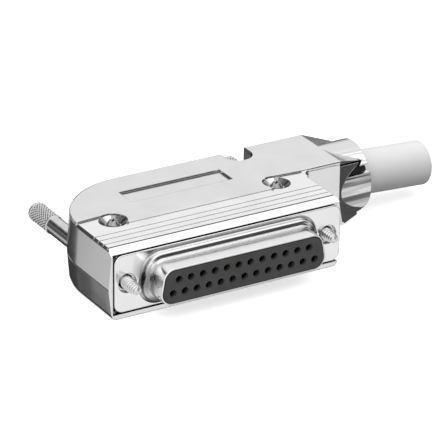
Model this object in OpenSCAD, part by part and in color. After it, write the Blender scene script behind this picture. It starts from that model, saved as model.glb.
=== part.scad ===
// D-shaped cable connector with 25 socket contacts in a two-part cast metal hood,
// cable leaving at the side. Millimetres, +Z up. The origin is the centre of the
// connector flange's front face: +X runs to the cable, +Y into the hood.

/* [Contacts] */
// Contacts in the top row; the bottom row has one more
top_ways = 12; // [10:1:12]
// Distance from contact to contact along a row
pitch = 2.76; // [2.7:0.01:2.8]
// Height between the two rows
row_gap = 2.84; // [2.7:0.02:3.0]
// Outer radius of a contact barrel
barrel_r = 0.75; // [0.68:0.01:0.8]
// Radius of the hole that takes the mating pin
socket_r = 0.54; // [0.5:0.01:0.58]
// Depth of that hole
socket_depth = 6; // [5:0.25:6.5]
// How far the barrels stand back from the insulator's face
contact_recess = 0.9; // [0.5:0.1:1.5]
// Length of the solder cups behind the rear insulator
cup_length = 4.6; // [4:0.2:5]
// Radius of a solder cup
cup_r = 0.85; // [0.8:0.01:0.9]

/* [Connector shells] */
// Distance from a jackscrew to the end of the flange
flange_edge = 3; // [2.9:0.05:3.1]
// Height of the flange
flange_h = 12.55; // [12.4:0.05:12.6]
// Corner radius of the flange
flange_corner = 2; // [1:0.25:2.5]
// Thickness of each shell's flange
flange_t = 0.8; // [0.7:0.05:0.9]
// Distance from the last contact of the bottom row to the end of the skirt
skirt_end = 2.63; // [2.58:0.01:2.7]
// Height over the mating skirt
skirt_h = 7.9; // [7.8:0.02:8]
// How far the skirt stands out of the flange
skirt_length = 6.05; // [5.8:0.05:6.1]
// Wall of the drawn skirt
skirt_wall = 0.4; // [0.35:0.05:0.45]
// Outer corner radius of the skirt
skirt_corner = 2.6; // [2.4:0.1:2.8]
// Slope of the skirt's two ends
skirt_slope = 10; // [8:0.5:12]
// Margin of the drawn shoulder round the skirt
shoulder_margin = 1.35; // [1.2:0.05:1.45]
// Height of that shoulder over the flange
shoulder_rise = 1.2; // [1:0.05:1.4]
// Wall of the shoulder
shoulder_wall = 0.6; // [0.5:0.05:0.65]
// Depth of the rear shell's collar behind its flange
collar_depth = 3.2; // [2.8:0.1:3.6]
// Distance from the end of the skirt to a jackscrew
screw_reach = 4.33; // [4.3:0.01:4.4]
// Radius of the jackscrew holes in the front shell
front_hole_r = 2.05; // [1.9:0.05:2.2]
// Radius of the jackscrew holes in the rear shell
rear_hole_r = 1.6; // [1.52:0.02:1.64]

/* [Hood] */
// Wall thickness of the casting
wall = 1.1; // [1:0.05:1.3]
// Thickness of its floor and roof
plate = 1.25; // [1.1:0.05:1.3]
// Underside of the hood, below the connector's middle
bottom_drop = 7.6; // [7.6:0.05:7.8]
// Top of the ribbed band, above the connector's middle
band_rise = 7.6; // [7.6:0.05:7.8]
// Extra height of the smooth area behind the band
raised_step = 0.35; // [0.3:0.05:0.5]
// Height of the parting line between the halves
parting = -1; // [-1.2:0.1:-0.8]
// Hood width beside the flange on the plain end
end_margin = 1.1; // [1:0.05:1.3]
// Depth of the hood from front to back
hood_depth = 31.75; // [31:0.25:32.5]
// Radius of the large rear corner
rear_corner = 18; // [16:0.25:18.5]
// Start of the raised area behind the band
band_depth = 15.4; // [15:0.1:15.8]
// How far the cable block reaches past the flange
block_reach = 9.5; // [8.5:0.25:11]
// Inward lean of the side walls from the parting line to the top
draft = 0.5; // [0.3:0.05:0.6]
// Inward lean of the side walls from the parting line to the bottom
low_draft = 0.4; // [0.2:0.05:0.5]
// Bevel round the top edge
top_bevel = 0.6; // [0.4:0.05:0.8]
// Bevel round the bottom edge
bottom_bevel = 1.2; // [0.8:0.1:1.2]
// Depth of the sloping face above the flange
brow_depth = 2; // [1.5:0.1:2.4]
// Distance between the grooves of the band
groove_pitch = 1.95; // [1.8:0.05:2.1]
// Number of grooves
groove_count = 4; // [3:1:4]
// Depth of a groove
groove_depth = 0.25; // [0.15:0.05:0.3]
// Width of the label recess
label_w = 24; // [20:0.5:25]
// Depth of the label recess from front to back
label_d = 5.6; // [5:0.2:6]
// Distance of the label recess from the rear edge
label_back = 7.65; // [7:0.05:8]
// How far the label recess stands off the middle, towards the plain end
label_shift = 0.4; // [0:0.1:1]
// How far the label recess is sunk
label_sink = 0.45; // [0.2:0.05:0.5]
// Width of the notch in the rear edge
notch_w = 6.2; // [5.6:0.1:6.4]
// How far the notch runs in
notch_d = 6; // [5.4:0.1:6.2]
// Distance of the notch's middle from the jackscrew, towards the middle
notch_inset = 4.52; // [4.45:0.01:4.9]

/* [Cable neck] */
// Outer radius of the neck
neck_r = 7.75; // [7.5:0.05:7.75]
// How far the neck's axis stands off the middle of the cable block, towards the flange
neck_shift = 0.17; // [0:0.01:0.2]
// Length of the neck beyond the block
neck_length = 8.3; // [8:0.1:9]
// Wall of the neck
neck_wall = 1.3; // [1.1:0.05:1.4]
// Height of the neck's axis over the connector's middle
neck_rise = 0.2; // [0.15:0.05:0.2]
// How much the square shoulders taper in along the neck
neck_taper = 2.6; // [2.2:0.1:2.8]
// Upper edge of the lower half along the neck
gap_low = 3.1; // [2.8:0.1:3.3]
// Lower edge of the upper half at the mouth of the neck
gap_high = 4.8; // [4.6:0.1:5]

/* [Hood screws] */
// Distance of the two hood screws from the jackscrews, towards the middle
hood_screw_inset = 4.22; // [4.15:0.01:4.35]
// Distance of the hood screws behind the flange face
hood_screw_y = 12.5; // [12:0.1:12.8]
// Radius of the screw head
head_r = 2.3; // [2.1:0.05:2.4]
// Height of the screw head
head_h = 1.3; // [1.1:0.05:1.4]
// Radius of the round pocket for the head
pocket_r = 3; // [2.9:0.05:3.1]
// Depth of that pocket
pocket_depth = 1.5; // [1.4:0.05:1.7]
// Radius of the screw shank
shank_r = 1.1; // [1:0.02:1.15]
// Radius of the posts that the screws run through
post_r = 2; // [1.9:0.02:2.05]
// Depth of the cross recess in the head
recess_depth = 0.8; // [0.6:0.05:0.9]

/* [Jackscrews] */
// Radius of the threaded end
thread_r = 1.42; // [1.38:0.01:1.42]
// Length of the threaded end in front of the shoulder
thread_length = 6.9; // [6.6:0.1:7.2]
// Radius of the plain shaft
shaft_r = 2; // [1.9:0.02:2]
// Radius of the knurled head
knob_r = 2.15; // [2.1:0.05:2.2]
// Length of the knurled head
knob_length = 9; // [8:0.2:9.6]
// Length from the tip to the end of the head
jackscrew_length = 44.7; // [44:0.1:46]
// Where the left screw's tip stands, in front of the flange face
tip_out = 4.4; // [4.2:0.1:4.6]
// How much further back the right screw stands
right_shift = 1.5; // [1.3:0.1:1.7]
// Distance of the ring groove behind the tip
groove_place = 11; // [10.8:0.1:11.2]
// Thickness of the retaining rings
ring_t = 0.5; // [0.4:0.05:0.6]
// Outer radius of the retaining rings
ring_r = 2.4; // [2.3:0.05:2.5]
// Radius of the shaft in the ring groove
groove_r = 1.55; // [1.45:0.05:1.6]
// Front face of the bearing ribs that stop the rings
rib_place = 11.2; // [11.1:0.05:11.3]
// Thickness of those ribs
rib_t = 1.4; // [1.2:0.05:1.5]

/* [Cable] */
// Radius over the cable jacket
cable_r = 4.9; // [4.7:0.05:4.95]
// Thickness of the jacket
jacket_wall = 1.2; // [1:0.05:1.25]
// Thickness of the braided shield
shield_wall = 0.25; // [0.2:0.05:0.3]
// Length of cable outside the neck
cable_out = 17.5; // [12:0.5:22]
// Length of jacket held inside the hood, from the end of the block
cable_in = 7.8; // [7.4:0.1:8]
// Radius of one insulated conductor
wire_r = 0.34; // [0.3:0.01:0.35]
// Distance of the conductors from each other in the cable
wire_pitch = 1.05; // [0.95:0.05:1.1]
// Distance of the conductors from each other across the hood
lane_pitch = 0.7; // [0.68:0.01:0.72]
// Wall of the crimped ring on the jacket
crimp_wall = 0.5; // [0.4:0.05:0.6]
// Length of the crimped ring
crimp_length = 4; // [3.6:0.1:4.2]

/* [Fits] */
// Radial clearance of a shaft that turns and slides in its bearing
running = 0.08; // [0.05:0.01:0.1]
// Radial clearance of a shaft where it leaves the hood
loose = 0.3; // [0.25:0.01:0.35]
// Clearance between pieces that are laid into each other
seat = 0.05; // [0.03:0.01:0.08]

/* [Hidden] */
$fn = 96;
eps = 0.01;
hair = 0.002;
bottom_ways = top_ways + 1;
ways = top_ways + bottom_ways;
function contact_name(i) = str("contact_", i < 9 ? "0" : "", i + 1);

// Widths that follow from the contact rows
skirt_w = (bottom_ways - 1) * pitch + 2 * skirt_end;
screw_x = skirt_w / 2 + screw_reach;
flange_w = 2 * (screw_x + flange_edge);
hood_screw_x = screw_x - hood_screw_inset;
notch_x = screw_x - notch_inset;
// Hood planes
hood_left = -flange_w / 2 - end_margin;
band_right = flange_w / 2;
block_right = band_right + block_reach;
hood_back = hood_depth;
raised_z = band_rise + raised_step;
floor_z = -bottom_drop;
cavity_low = floor_z + plate;
cavity_high = band_rise - plate;
flanges = 2 * flange_t;
notch_right = notch_x + notch_w / 2;
notch_y = hood_back - notch_d + notch_w / 2;
lid_z = raised_z - 0.8;
split = 0.12;
// Edge profiles of the casting, each with half of a V along the joints
low_edge = [[low_draft + bottom_bevel, floor_z], [low_draft + bottom_bevel * 0.3, floor_z + bottom_bevel * 0.3],
            [low_draft, floor_z + bottom_bevel]];
lid_edge = [[0, lid_z + split], [0, raised_z - 0.4], [0.12, raised_z - 0.12], [0.4, raised_z]];
corner_x = hood_left + rear_corner;
corner_y = hood_back - rear_corner;
// Neck
neck_y = (band_depth + hood_back) / 2 - neck_shift;
neck_end = block_right + neck_length;
neck_bore = neck_r - neck_wall;
shoulder_slope = neck_taper / 2 / (neck_length * 0.9);
cheek_reach = neck_length * 0.72;
cheek_gap = 0.5;
inner_corner = 2.1;
// Jackscrews
ring_front = groove_place - tip_out;
// Contact rows, worked out from the pitch
function contact_x(i) = i < top_ways ? (i - (top_ways - 1) / 2) * pitch
                                     : (i - top_ways - (bottom_ways - 1) / 2) * pitch;
function contact_z(i) = i < top_ways ? row_gap / 2 : -row_gap / 2;
insulator_face = -skirt_length - 0.05;
rear_face = flange_t + collar_depth;

// A rod along Y from y0 to y1
module rod_y(r, y0, y1, fn = 48) {
    translate([0, y1, 0]) rotate([90, 0, 0]) cylinder(r = r, h = y1 - y0, $fn = fn);
}

// A rod along X from x0 to x1
module rod_x(r, x0, x1, fn = 96) {
    translate([x0, 0, 0]) rotate([0, 90, 0]) cylinder(r = r, h = x1 - x0, $fn = fn);
}

// A plate of a flat outline standing across Y from y0 to y1
module stand(y0, y1) {
    translate([0, y1, 0]) rotate([90, 0, 0]) linear_extrude(y1 - y0) children();
}

// A flat outline in Y and Z drawn out along X from x0 to x1
module stand_x(x0, x1) {
    translate([x0, 0, 0]) rotate([90, 0, 90]) linear_extrude(x1 - x0) children();
}

// The D outline: flat top and bottom, round corners, ends that slope in to the top.
// The flats lie a hair inside the corner circles, so that each pair crosses cleanly
module dee(w, h, r) {
    xb = w / 2 - r;
    xt = xb - (h - 2 * r) * tan(skirt_slope);
    q = r - hair;
    c = q * cos(skirt_slope);
    s = q * sin(skirt_slope);
    right = [[xb, -h / 2 + hair], [xb + c, -h / 2 + r + s], [xt + c, h / 2 - r + s], [xt, h / 2 - hair]];
    polygon(concat(right, [for (i = [3:-1:0]) [-right[i][0], right[i][1]]]));
    for (m = [-1, 1]) {
        translate([m * xb, -h / 2 + r]) circle(r, $fn = 64);
        translate([m * xt, h / 2 - r]) circle(r, $fn = 64);
    }
}

// A rectangle with round corners
module rounded(w, h, r) {
    square([w - 2 * r, h], center = true);
    square([w, h - 2 * r], center = true);
    for (x = [-1, 1], z = [-1, 1])
        translate([x * (w / 2 - r), z * (h / 2 - r)]) circle(r, $fn = 48);
}

// A box from x0,y0 to x1,y1 whose sides follow an edge profile of [inset, z] points;
// sides says which of left, right, front and back follow it
module profiled_box(x0, x1, y0, y1, profile, sides) {
    n = len(profile) - 1;
    intersection() {
        stand(y0, y1) polygon(concat(
            [for (p = profile) [x0 + sides[0] * p[0], p[1]]],
            [for (i = [n:-1:0]) [x1 - sides[1] * profile[i][0], profile[i][1]]]));
        translate([x0, 0, 0]) rotate([90, 0, 90]) linear_extrude(x1 - x0) polygon(concat(
            [for (p = profile) [y0 + sides[2] * p[0], p[1]]],
            [for (i = [n:-1:0]) [y1 - sides[3] * profile[i][0], profile[i][1]]]));
    }
}

// The hood's body up to x1: straight sides and the large round rear corner,
// all with the same edge profile, inset by a wall
module hood_body(profile, x1, inset = 0, y0 = 0) {
    n = len(profile) - 1;
    x0 = hood_left + inset;
    y1 = hood_back - inset;
    r = rear_corner - inset;
    profiled_box(x0, x1, y0, corner_y, profile, [1, 0, 0, 0]);
    profiled_box(corner_x, x1, y0, y1, profile, [0, 0, 0, 1]);
    translate([corner_x, corner_y, 0]) rotate([0, 0, 90]) rotate_extrude(angle = 90, $fn = 128)
        polygon(concat([[0, profile[0][1]]], [for (p = profile) [r - p[0], p[1]]], [[0, profile[n][1]]]));
}

// Straight profile for hollows
function plain(z0, z1) = [[0, z0], [0, z1]];

// The notch in the rear edge, grown by a margin
module notch(z0, z1, margin = 0) {
    translate([0, 0, z0]) linear_extrude(z1 - z0) {
        translate([notch_x, notch_y]) circle(notch_w / 2 + margin, $fn = 64);
        translate([notch_x - notch_w / 2 - margin, notch_y])
            square([notch_w + 2 * margin, hood_back - notch_y + 1]);
    }
}

// Everything that the jackscrews pass through: room for the rings, bearings in the ribs and
// wider holes behind them
module jackscrew_ways() {
    for (m = [-1, 1]) translate([m * screw_x, 0, 0]) {
        rod_y(ring_r + loose / 2, flanges, rib_place);
        rod_y(shaft_r + running, rib_place - 1, rib_place + rib_t + 1);
        rod_y(shaft_r + loose, rib_place + rib_t, hood_back + 1);
    }
}

// Bearing ribs from z0 to z1
module ribs(z0, z1) {
    for (m = [-1, 1]) {
        outer = m < 0 ? -hood_left - wall / 2 : band_right - wall - 0.35;
        inner = screw_x - ring_r;
        translate([m < 0 ? -outer : inner, rib_place, z0]) cube([outer - inner, rib_t, z1 - z0]);
    }
}

// Round fill in the corner between the band's end and the front of the cable block
module inner_fillet(z0, z1, lean = 0) {
    intersection() {
        translate([band_right - wall / 2, band_depth - inner_corner, z0])
            cube([inner_corner + wall / 2, inner_corner + wall / 2, z1 - z0]);
        difference() {
            translate([band_right - wall, band_depth - 2 * inner_corner, z0 - 1])
                cube([inner_corner + wall, 2 * inner_corner + wall, z1 - z0 + 2]);
            translate([band_right + inner_corner, band_depth - inner_corner, z1])
                rotate([atan(lean * cos(atan(lean))), atan(lean), 0])
                    translate([0, 0, z0 - z1 - 2]) cylinder(r = inner_corner, h = z1 - z0 + 4, $fn = 64);
        }
    }
}

// The round neck with the block's square shoulders tapering into it
module neck_outer() {
    x1 = block_right + neck_length * 0.9;
    translate([0, neck_y, neck_rise]) rod_x(neck_r, block_right - eps, neck_end);
    intersection() {
        profiled_box(block_right - wall, x1, band_depth, hood_back,
            concat(low_edge, [[0, parting - split]], lid_edge), [0, 0, 1, 1]);
        translate([0, 0, floor_z]) linear_extrude(raised_z - floor_z)
            polygon([[block_right - wall, band_depth], [block_right, band_depth], [x1, band_depth + neck_taper],
                     [x1, hood_back - neck_taper], [block_right, hood_back], [block_right - wall, hood_back]]);
        stand(band_depth, hood_back)
            polygon([[block_right - wall, floor_z], [block_right, floor_z], [x1, floor_z + neck_taper / 2],
                     [x1, raised_z - neck_taper / 2], [block_right, raised_z], [block_right - wall, raised_z]]);
    }
}

// Side view of what the upper half covers of the neck
module neck_cover() {
    tip = neck_length * 0.85;
    stand(band_depth - 1, hood_back + 1)
        polygon([[block_right - wall, lid_z], [block_right, lid_z],
                 [block_right + tip - 0.5, lid_z - shoulder_slope * tip + 0.05],
                 [block_right + tip, lid_z - shoulder_slope * tip - 0.3],
                 [block_right + tip * 0.87, gap_high], [neck_end + 1, gap_high + 0.15],
                 [neck_end + 1, raised_z + 1], [block_right - wall, raised_z + 1]]);
}

// Saddles that hold the crimped ring, from z0 to z1
module saddles(z0, z1) {
    for (x = [0, crimp_length * 0.55])
        translate([block_right - cable_in + 1.1 + x, band_depth + eps, z0])
            cube([1, hood_back - band_depth - 2 * eps, z1 - z0]);
}

module crimp_seat() {
    translate([0, neck_y, neck_rise])
        rod_x(cable_r + crimp_wall + 2 * seat, block_right - cable_in - 1, block_right - wall / 2);
}

module hood_upper() {
    edge = [[split, parting], [0, parting + split], [draft, raised_z - top_bevel],
            [draft + top_bevel * 0.35, raised_z - top_bevel * 0.25], [draft + top_bevel, raised_z]];
    lid = concat([[split, lid_z]], lid_edge);
    color("gainsboro") difference() {
        union() {
            difference() {
                hood_body(edge, notch_right);
                hood_body(plain(parting - 1, cavity_high), notch_right + 1, wall, wall);
                // Mouth for the flange
                translate([hood_left + end_margin - seat, -1, parting - 1])
                    cube([band_right - hood_left + 1, wall + 2, flange_h / 2 + seat - parting + 1]);
            }
            // Thin lid over the cable block and the end of the band
            profiled_box(notch_right - 1, band_right, 0, hood_back, lid, [0, 1, 0, 1]);
            profiled_box(notch_right - 1, block_right, band_depth, hood_back, lid, [0, 0, 1, 1]);
            translate([notch_right - 1, 0, flange_h / 2 + seat])
                cube([band_right - notch_right + 1, flanges, lid_z + eps - flange_h / 2 - seat]);
            inner_fillet(lid_z + split, band_rise);
            intersection() {
                neck_outer();
                neck_cover();
            }
            intersection() {
                union() {
                    intersection() {
                        notch(parting, cavity_high + eps, wall);
                        translate([hood_left, 0, parting])
                            cube([notch_right - seat - hood_left, hood_back, cavity_high + 2 * eps - parting]);
                    }
                    for (m = [-1, 1]) translate([m * hood_screw_x, hood_screw_y, 0]) {
                        translate([0, 0, parting]) cylinder(r = post_r, h = cavity_high - parting + eps, $fn = 64);
                        translate([0, 0, raised_z - pocket_depth - plate])
                            cylinder(r = pocket_r + wall / 2, h = plate + 0.6, $fn = 64);
                    }
                    ribs(parting, lid_z - eps);
                    saddles(neck_rise + 0.5, lid_z + eps);
                }
                union() {
                    hood_body(plain(parting, cavity_high + eps), notch_right, wall / 2);
                    translate([notch_right - eps, 0, parting])
                        cube([band_right - wall - seat - notch_right, hood_back, lid_z + 2 * eps - parting]);
                    translate([band_right - wall - eps, band_depth + wall + seat, parting])
                        cube([block_reach, hood_back - band_depth - 2 * wall - 2 * seat, lid_z + 2 * eps - parting]);
                }
            }
        }
        // The ribbed band lies lower than the area behind it
        translate([hood_left - 1, -1, band_rise]) cube([band_right - hood_left + 2, 11.2, 2]);
        for (x = [hood_left - 1, hood_screw_x - pocket_r * 0.6])
            translate([x, -1, band_rise]) cube([hood_screw_x * 0.55, band_depth + 0.9, 2]);
        // Sloping brow above the flange
        stand_x(hood_left - 1, band_right + 1)
            polygon([[-1, flange_h / 2 + 0.1], [0, flange_h / 2 + 0.1], [brow_depth, band_rise],
                     [brow_depth, raised_z + 1], [-1, raised_z + 1]]);
        // Grooves
        stand_x(hood_left - 1, band_right + 1) for (i = [0:groove_count - 1])
            translate([brow_depth + (i == 0 ? 0.1 : 0) + i * groove_pitch, band_rise])
                polygon([[-groove_depth * 0.7, eps], [0, -groove_depth], [groove_depth * 0.7, eps]]);
        // Label recess
        translate([-label_shift - label_w / 2, hood_back - label_back - label_d, raised_z - label_sink])
            cube([label_w, label_d, 1]);
        // Screw pockets and holes
        for (m = [-1, 1]) translate([m * hood_screw_x, hood_screw_y, 0]) {
            translate([0, 0, raised_z - pocket_depth]) cylinder(r = pocket_r, h = pocket_depth + 1, $fn = 64);
            translate([0, 0, parting - 1]) cylinder(r = shank_r + running, h = raised_z - parting + 2, $fn = 48);
        }
        notch(parting - 1, raised_z + 1);
        jackscrew_ways();
        crimp_seat();
        translate([0, neck_y, neck_rise]) rod_x(neck_bore, block_right - wall - 1, neck_end + 1);
    }
}

module hood_lower() {
    edge = concat(low_edge, [[0, parting - split], [split, parting]]);
    tall = concat(low_edge, [[0, parting - split], [0, lid_z - split], [split, lid_z]]);
    color("gainsboro") difference() {
        union() {
            difference() {
                union() {
                    hood_body(edge, notch_right + 1);
                    profiled_box(notch_right, band_right, 0, hood_back, edge, [0, 1, 0, 1]);
                    profiled_box(notch_right, band_right, flanges + seat, hood_back, tall, [0, 1, 0, 1]);
                    profiled_box(notch_right, block_right, band_depth, hood_back, tall, [0, 0, 1, 1]);
                }
                hood_body(plain(cavity_low, parting + 1), notch_right + 1, wall, wall);
                translate([notch_right, wall, cavity_low])
                    cube([band_right - wall - notch_right, hood_back - 2 * wall, lid_z - cavity_low + 1]);
                translate([notch_right, band_depth + wall, cavity_low])
                    cube([block_right - wall - notch_right, hood_back - band_depth - 2 * wall, lid_z - cavity_low + 1]);
                // Mouth for the flange
                translate([hood_left + end_margin - seat, -1, -flange_h / 2 - seat])
                    cube([band_right - hood_left + 1, flanges + seat + 1, flange_h + 10]);
            }
            inner_fillet(parting - eps, lid_z - split);
            inner_fillet(floor_z + bottom_bevel, parting, low_draft / (parting - floor_z - bottom_bevel));
            // Neck: the lower bowl and the two cheeks that run up to the lid
            intersection() {
                neck_outer();
                translate([block_right - wall, neck_y, neck_rise]) rotate([0, 90, 0])
                    cylinder(r1 = neck_r + 2.75, r2 = neck_r + 0.1, h = neck_length + wall);
                stand(band_depth - 1, hood_back + 1)
                    polygon([[block_right - wall, floor_z - 1], [neck_end + 1, floor_z - 1], [neck_end + 1, gap_low + 0.3],
                             [block_right, gap_low], [block_right - wall, gap_low]]);
            }
            difference() {
                intersection() {
                    neck_outer();
                    stand(band_depth - 1, hood_back + 1)
                        polygon([[block_right - wall, floor_z], [block_right + cheek_reach, floor_z],
                                 [block_right + cheek_reach, lid_z - cheek_gap - shoulder_slope * cheek_reach],
                                 [block_right, lid_z - cheek_gap], [block_right - wall, lid_z - cheek_gap]]);
                }
                translate([0, neck_y, neck_rise]) rod_x(neck_r, block_right, neck_end + 1);
            }
            intersection() {
                union() {
                    notch(cavity_low - eps, parting, wall);
                    for (m = [-1, 1]) translate([m * hood_screw_x, hood_screw_y, cavity_low - eps])
                        cylinder(r = post_r, h = parting - cavity_low + eps, $fn = 64);
                    ribs(cavity_low - eps, parting);
                    saddles(cavity_low - eps, neck_rise - 0.5);
                }
                hood_body(plain(floor_z, parting), block_right - wall / 2, wall / 2);
            }
            // The notch's wall on the side of the cable block runs up to the lid
            intersection() {
                notch(cavity_low - eps, lid_z, wall);
                translate([notch_right, 0, floor_z]) cube([wall, hood_back - wall / 2, lid_z - floor_z]);
            }
            // Low ribs that back the flange
            for (x = [-14, -4, 6, 16]) translate([x - 1, flanges + seat, cavity_low - eps])
                cube([2, 1.2, 1.1]);
        }
        // Threaded holes for the hood screws
        for (m = [-1, 1]) translate([m * hood_screw_x, hood_screw_y, floor_z + plate])
            cylinder(r = shank_r + running / 2, h = raised_z - floor_z, $fn = 48);
        notch(floor_z - 1, raised_z + 1);
        jackscrew_ways();
        crimp_seat();
        translate([0, neck_y, neck_rise]) rod_x(neck_bore, block_right - wall - 1, neck_end + 1);
    }
}

module hood_screw(m) {
    color("silver") translate([m * hood_screw_x, hood_screw_y, raised_z - pocket_depth]) difference() {
        union() {
            cylinder(r = head_r, h = head_h * 0.45);
            translate([0, 0, head_h * 0.45]) cylinder(r1 = head_r, r2 = head_r * 0.62, h = head_h * 0.55);
            translate([0, 0, cavity_low + 0.6 - raised_z + pocket_depth])
                cylinder(r = shank_r, h = raised_z - pocket_depth - cavity_low - 0.6);
        }
        // Cross recess
        for (a = [45, 135]) rotate([0, 0, a]) translate([0, 0, head_h]) 
            cube([head_r * 1.15, 0.5, 2 * recess_depth], center = true);
    }
}

module shell_plate(t, hole_r) {
    difference() {
        rounded(flange_w, flange_h, flange_corner);
        for (m = [-1, 1]) translate([m * screw_x, 0]) circle(hole_r, $fn = 48);
    }
}

// Round edge of the shoulder, as [share of its rise, inset] steps
shoulder_steps = [[0.5, 0], [0.8, 0.12], [1, 0.4]];

// Drawn front shell: flange, raised shoulder and the D skirt
module front_shell() {
    sw = skirt_w + 2 * shoulder_margin;
    sh = skirt_h + 2 * shoulder_margin;
    sr = skirt_corner + shoulder_margin;
    color("whitesmoke") difference() {
        union() {
            stand(0, flange_t) shell_plate(flange_t, front_hole_r);
            for (s = shoulder_steps)
                stand(-shoulder_rise * s[0], eps) dee(sw - 2 * s[1], sh - 2 * s[1], sr - s[1]);
            stand(-skirt_length, 0) dee(skirt_w, skirt_h, skirt_corner);
        }
        stand(-skirt_length - 1, 1) dee(skirt_w - 2 * skirt_wall, skirt_h - 2 * skirt_wall, skirt_corner - skirt_wall);
        stand(-shoulder_rise + shoulder_wall, flange_t + 1)
            dee(sw - 2 * shoulder_wall, sh - 2 * shoulder_wall, sr - shoulder_wall);
    }
}

collar_w = skirt_w + 2 * shoulder_margin - 2 * shoulder_wall + 2 * skirt_wall;
collar_h = skirt_h + 2 * shoulder_margin - 2 * shoulder_wall + 2 * skirt_wall;
collar_r = skirt_corner + shoulder_margin - shoulder_wall + skirt_wall;

module rear_shell() {
    color("whitesmoke") difference() {
        union() {
            stand(flange_t, flanges) shell_plate(flange_t, rear_hole_r);
            stand(flange_t, rear_face + skirt_wall) dee(collar_w, collar_h, collar_r);
        }
        stand(0, rear_face + 1) dee(collar_w - 2 * skirt_wall, collar_h - 2 * skirt_wall, collar_r - skirt_wall);
    }
}

// Both insulators are drilled for every contact
module contact_holes(r, y0, y1) {
    for (i = [0:ways - 1]) translate([contact_x(i), 0, contact_z(i)]) rod_y(r, y0, y1, 32);
}

module front_insulator() {
    inner = 2 * (skirt_wall + seat);
    flange = 2 * (skirt_wall + seat);
    color([0.2, 0.2, 0.21]) difference() {
        union() {
            stand(insulator_face, 0) dee(skirt_w - inner, skirt_h - inner, skirt_corner - skirt_wall - seat);
            stand(-shoulder_rise + shoulder_wall + seat, flange_t)
                dee(collar_w - flange, collar_h - flange, collar_r - skirt_wall - seat);
        }
        contact_holes(barrel_r + seat, insulator_face - 1, flange_t + 1);
    }
}

module rear_insulator() {
    flange = 2 * (skirt_wall + seat);
    color([0.2, 0.2, 0.21]) difference() {
        stand(flange_t, rear_face) dee(collar_w - flange, collar_h - flange, collar_r - skirt_wall - seat);
        contact_holes(barrel_r + seat, 0, rear_face + 1);
        contact_holes(barrel_r + 0.25 + seat, flange_t - eps, flange_t + 0.6);
    }
}

// Turned contact: socket in front, collar between the insulators, solder cup behind
module contact(i) {
    front = insulator_face + contact_recess;
    end = rear_face + cup_length;
    color("goldenrod") translate([contact_x(i), 0, contact_z(i)]) difference() {
        union() {
            rod_y(barrel_r, front, rear_face + 0.4, 32);
            rod_y(barrel_r + 0.25, flange_t + seat, flange_t + 0.55, 32);
            rod_y(cup_r, rear_face + seat, end, 32);
        }
        rod_y(socket_r, front - 1, front + socket_depth, 32);
        rod_y(cup_r - 0.25, end - 2.6, end + 1, 32);
        // The cup is cut away on the side it is soldered from
        translate([-2, end - 1.8, contact_z(i) > 0 ? 0.3 : -2.3]) cube([4, 3, 2]);
    }
}

// Outline of a jackscrew from tip to head, as [radius, distance from the tip]
function dome(r, from, rise, n) = [for (k = [0:n]) [r * cos(90 * k / n), from + rise * sin(90 * k / n)]];
jackscrew_outline = concat(
    [[0, 0], [0.75, 0], [thread_r, 0.9], [thread_r, thread_length - 0.9], [thread_r - 0.3, thread_length - 0.6],
     [thread_r - 0.3, thread_length], [shaft_r - 0.2, thread_length], [shaft_r, thread_length + 0.2],
     [shaft_r, groove_place], [groove_r, groove_place], [groove_r, groove_place + ring_t + 2 * seat],
     [shaft_r, groove_place + ring_t + 2 * seat], [shaft_r, jackscrew_length - knob_length],
     [knob_r, jackscrew_length - knob_length + 0.35]],
    dome(knob_r, jackscrew_length - knob_r * 0.8, knob_r * 0.8, 7));

module jackscrew(m) {
    shift = m > 0 ? right_shift : 0;
    color("whitesmoke") translate([m * screw_x, -tip_out + shift, 0]) rotate([-90, 0, 0])
        rotate_extrude($fn = 72) polygon(jackscrew_outline);
}

// Open retaining ring in the jackscrew's groove
module retaining_ring(m) {
    shift = m > 0 ? right_shift : 0;
    color("silver") translate([m * screw_x, ring_front + shift + seat, 0]) difference() {
        rod_y(ring_r, 0, ring_t);
        rod_y(groove_r + seat, -1, ring_t + 1);
        translate([-groove_r * 0.8, -1, -ring_r - 1]) cube([groove_r * 1.6, ring_t + 2, ring_r + 1]);
    }
}

// A cable layer of one radius from inside the hood to its cut end
module cable_layer(r, x0, extra = 0) {
    translate([0, neck_y, neck_rise]) rod_x(r, x0, neck_end + cable_out + extra);
}

module cable_jacket() {
    x0 = block_right - cable_in;
    color("gainsboro") difference() {
        cable_layer(cable_r, x0);
        cable_layer(cable_r - jacket_wall, x0 - 1, 1);
    }
}

module cable_shield() {
    x0 = block_right - cable_in - 0.4;
    r = cable_r - jacket_wall - seat;
    color("silver") difference() {
        cable_layer(r, x0);
        cable_layer(r - shield_wall, x0 - 1, 1);
    }
}

module crimp_ring() {
    x0 = block_right - cable_in + 0.6;
    color("silver") translate([0, neck_y, neck_rise]) difference() {
        rod_x(cable_r + seat + crimp_wall, x0, x0 + crimp_length);
        rod_x(cable_r + seat, x0 - 1, x0 + crimp_length + 1);
    }
}

module cable_bushing() {
    color("dimgray") translate([0, neck_y, neck_rise]) difference() {
        rod_x(neck_bore - seat, block_right - wall - 0.4, neck_end - 0.8);
        rod_x(cable_r + seat, block_right - wall - 1, neck_end);
    }
}

// Places of the conductors in one half of the cable, from front to back: columns of 2 or 3
wire_spots = [for (y = [-2:2]) for (z = [0:abs(y) == 2 ? 1 : 2]) [y * wire_pitch, (z + 0.5) * wire_pitch]];

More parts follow.
